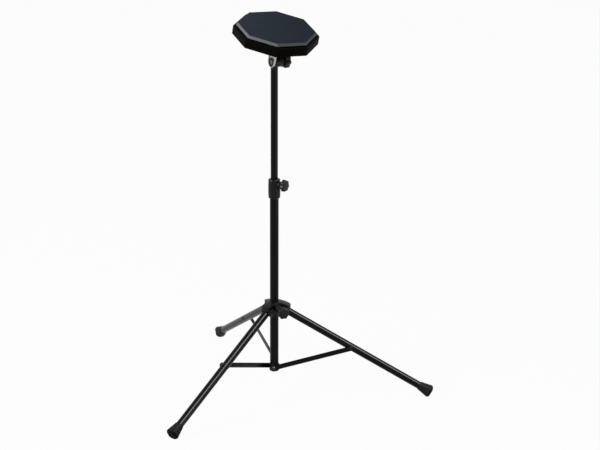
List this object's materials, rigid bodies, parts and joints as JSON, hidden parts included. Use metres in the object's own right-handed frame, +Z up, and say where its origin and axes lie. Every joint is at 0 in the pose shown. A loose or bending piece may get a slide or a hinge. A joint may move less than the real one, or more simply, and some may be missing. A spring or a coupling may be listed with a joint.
{
  "type": "practice drum pad on tripod stand",
  "caption": "Eight-sided rubber practice drum pad on a tilting bracket, on a telescopic column with a folding tripod base, clamp knobs and rubber feet.",
  "frame": {"origin": "on the column's axis at floor level", "axes": "+Z up along the column; -Y along the front leg, so the other two legs lie at 30 and 150 degrees from +X"},
  "size_m": [0.7136, 0.6219, 0.9671],
  "materials": {
    "black_tube": "gloss black powder coat",
    "black_plastic": "moulded, fine texture",
    "knob_plastic": "satin moulded grip",
    "zinc_steel": "bright zinc plate",
    "black_steel": "black oxide, satin",
    "nut_brass": "turned",
    "foot_rubber": "moulded, matte",
    "board": "board painted black",
    "sheet_rubber": "matte",
    "face_rubber": "matte slate, fine texture"
  },
  "bodies": {
    "column": {"lower_tube": "black_tube", "base_plug": "black_plastic", "clamp_collar": "black_plastic", "clamp_nut": "nut_brass"},
    "slider": {"guide_bush": "black_plastic"},
    "mast": {"upper_tube": "black_tube", "mast_plug": "black_plastic", "bush_ring": "zinc_steel", "tilt_knuckle": "black_plastic"},
    "pad": {"tilt_bracket": "zinc_steel", "tilt_bolt": "zinc_steel", "bracket_screws": "zinc_steel", "pad_base": "board", "damping_sheet": "sheet_rubber", "rubber_pad": "face_rubber"},
    "tilt_washer": {"tilt_washer": "zinc_steel"},
    "tilt_knob": {"tilt_knob": "knob_plastic", "tilt_insert": "nut_brass"},
    "clamp_shoe": {"clamp_shoe": "black_plastic"},
    "clamp_knob": {"clamp_knob": "knob_plastic", "clamp_screw": "zinc_steel"},
    "leg_collar": {"leg_collar": "black_plastic", "collar_nut": "nut_brass", "leg_pin_front": "black_steel", "leg_pin_right": "black_steel", "leg_pin_left": "black_steel"},
    "collar_shoe": {"collar_shoe": "black_plastic"},
    "collar_knob": {"collar_knob": "knob_plastic", "collar_screw": "zinc_steel"},
    "leg_front": {"leg_front": "black_tube", "leg_plug_front": "black_plastic", "foot_front": "foot_rubber", "brace_pin_front": "black_steel", "brace_spacer_front": "black_plastic"},
    "brace_front": {"brace_front": "black_tube", "hub_screw_front": "black_steel"},
    "leg_right": {"leg_right": "black_tube", "leg_plug_right": "black_plastic", "foot_right": "foot_rubber", "brace_pin_right": "black_steel", "brace_spacer_right": "black_plastic"},
    "brace_right": {"brace_right": "black_tube", "hub_screw_right": "black_steel"},
    "leg_left": {"leg_left": "black_tube", "leg_plug_left": "black_plastic", "foot_left": "foot_rubber", "brace_pin_left": "black_steel", "brace_spacer_left": "black_plastic"},
    "brace_left": {"brace_left": "black_tube", "hub_screw_left": "black_steel"}
  },
  "joints": [
    {"name": "height_slide", "type": "slide", "parent": "column", "child": "slider", "axis": [0, 0, 1], "range_m": [-0.265, 0.06]},
    {"name": "swivel", "type": "hinge", "parent": "slider", "child": "mast", "pos_m": [0, 0, 0.453], "axis": [0, 0, 1], "continuous": true},
    {"name": "tilt", "type": "hinge", "parent": "mast", "child": "pad", "pos_m": [0, 0, 0.853], "axis": [0.3551, 0.9348, 0], "range_deg": [-76, 44]},
    {"name": "tilt_release", "type": "slide", "parent": "pad", "child": "tilt_washer", "axis": [0.3551, 0.9348, 0], "range_m": [0, 0.002]},
    {"name": "tilt_knob_turn", "type": "hinge", "parent": "tilt_washer", "child": "tilt_knob", "pos_m": [0, 0, 0.853], "axis": [0.3551, 0.9348, 0], "range_deg": [0, 720]},
    {"name": "clamp_release", "type": "slide", "parent": "column", "child": "clamp_shoe", "axis": [0.9962, 0.0872, 0], "range_m": [0, 0.002]},
    {"name": "clamp_knob_turn", "type": "hinge", "parent": "clamp_shoe", "child": "clamp_knob", "pos_m": [0, 0, 0.5454], "axis": [0.9962, 0.0872, 0], "range_deg": [0, 720]},
    {"name": "fold_slide", "type": "slide", "parent": "column", "child": "leg_collar", "axis": [0, 0, 1], "range_m": [0, 0.24151]},
    {"name": "collar_release", "type": "slide", "parent": "leg_collar", "child": "collar_shoe", "axis": [0.866, -0.5, 0], "range_m": [0, 0.002]},
    {"name": "collar_knob_turn", "type": "hinge", "parent": "collar_shoe", "child": "collar_knob", "pos_m": [0, 0, 0.22446], "axis": [0.866, -0.5, 0], "range_deg": [0, 720]},
    {"name": "leg_front_hinge", "type": "hinge", "parent": "leg_collar", "child": "leg_front", "pos_m": [0, -0.02684, 0.21696], "axis": [1, 0, 0], "range_deg": [0, 59.23]},
    {"name": "brace_front_hinge", "type": "hinge", "parent": "leg_front", "child": "brace_front", "pos_m": [0, -0.1975, 0.12314], "axis": [-1, 0, 0], "range_deg": [0, 121.92]},
    {"name": "leg_right_hinge", "type": "hinge", "parent": "leg_collar", "child": "leg_right", "pos_m": [0.02325, 0.01342, 0.21696], "axis": [-0.5, 0.866, 0], "range_deg": [0, 59.23]},
    {"name": "brace_right_hinge", "type": "hinge", "parent": "leg_right", "child": "brace_right", "pos_m": [0.17104, 0.09875, 0.12314], "axis": [0.5, -0.866, 0], "range_deg": [0, 121.92]},
    {"name": "leg_left_hinge", "type": "hinge", "parent": "leg_collar", "child": "leg_left", "pos_m": [-0.02325, 0.01342, 0.21696], "axis": [-0.5, -0.866, 0], "range_deg": [0, 59.23]},
    {"name": "brace_left_hinge", "type": "hinge", "parent": "leg_left", "child": "brace_left", "pos_m": [-0.17104, 0.09875, 0.12314], "axis": [0.5, 0.866, 0], "range_deg": [0, 121.92]}
  ],
  "couplings": [
    {"joint": "tilt_knob_turn", "follows": "tilt_release", "rad_per_m": 6283.2},
    {"joint": "clamp_knob_turn", "follows": "clamp_release", "rad_per_m": 6283.2},
    {"joint": "collar_knob_turn", "follows": "collar_release", "rad_per_m": 6283.2},
    {"joint": "leg_front_hinge", "follows": "fold_slide", "rad_per_m": 4.2783},
    {"joint": "brace_front_hinge", "follows": "fold_slide", "rad_per_m": 8.8066},
    {"joint": "leg_right_hinge", "follows": "fold_slide", "rad_per_m": 4.2783},
    {"joint": "brace_right_hinge", "follows": "fold_slide", "rad_per_m": 8.8066},
    {"joint": "leg_left_hinge", "follows": "fold_slide", "rad_per_m": 4.2783},
    {"joint": "brace_left_hinge", "follows": "fold_slide", "rad_per_m": 8.8066}
  ]
}
